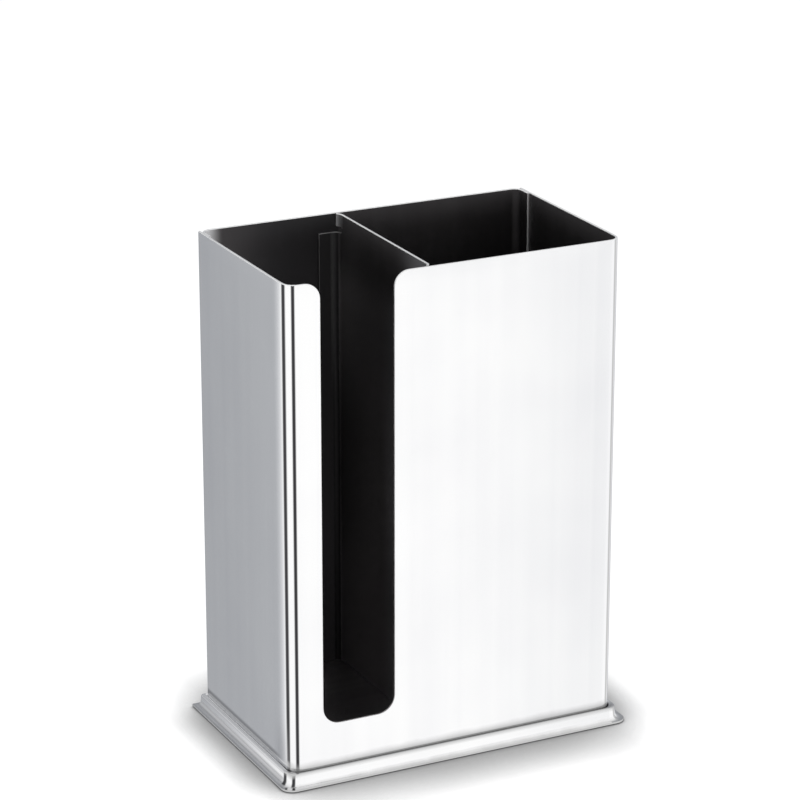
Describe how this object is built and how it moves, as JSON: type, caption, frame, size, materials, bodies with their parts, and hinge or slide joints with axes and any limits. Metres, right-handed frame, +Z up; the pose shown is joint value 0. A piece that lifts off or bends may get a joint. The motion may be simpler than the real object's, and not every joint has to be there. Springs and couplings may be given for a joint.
{
  "type": "chopstick and napkin holder",
  "caption": "Open-topped rectangular sheet-steel holder with a divider, a tall finger slot in the front of the napkin bay, a lift-out drain floor and a moulded plinth base.",
  "frame": {"origin": "on the counter, under the middle of the base", "axes": "+Z up, the slotted front faces -Y, the napkin bay is on the -X side"},
  "size_m": [0.192, 0.117, 0.256],
  "materials": {
    "polished_steel": "bright polished stainless sheet with a faint vertical grain",
    "satin_steel": "plain mill-finish stainless sheet, slightly duller than the outside",
    "plinth_steel": "bright polished pressed stainless moulding",
    "drain_steel": "satin stainless sheet, perforated",
    "pad_rubber": "matt black rubber"
  },
  "bodies": {
    "holder": {"front_shell": "polished_steel", "back_panel": "satin_steel", "divider": "satin_steel", "floor_pan": "satin_steel", "base_plinth": "plinth_steel", "rest_angle_divider": "satin_steel", "rest_angle_side": "satin_steel", "foot_pads": "pad_rubber"},
    "drain": {"drain_floor": "drain_steel"}
  },
  "joints": [
    {"name": "drain_floor_lift", "type": "slide", "parent": "holder", "child": "drain", "axis": [0, 0, 1], "range_m": [0, 0.14]}
  ]
}
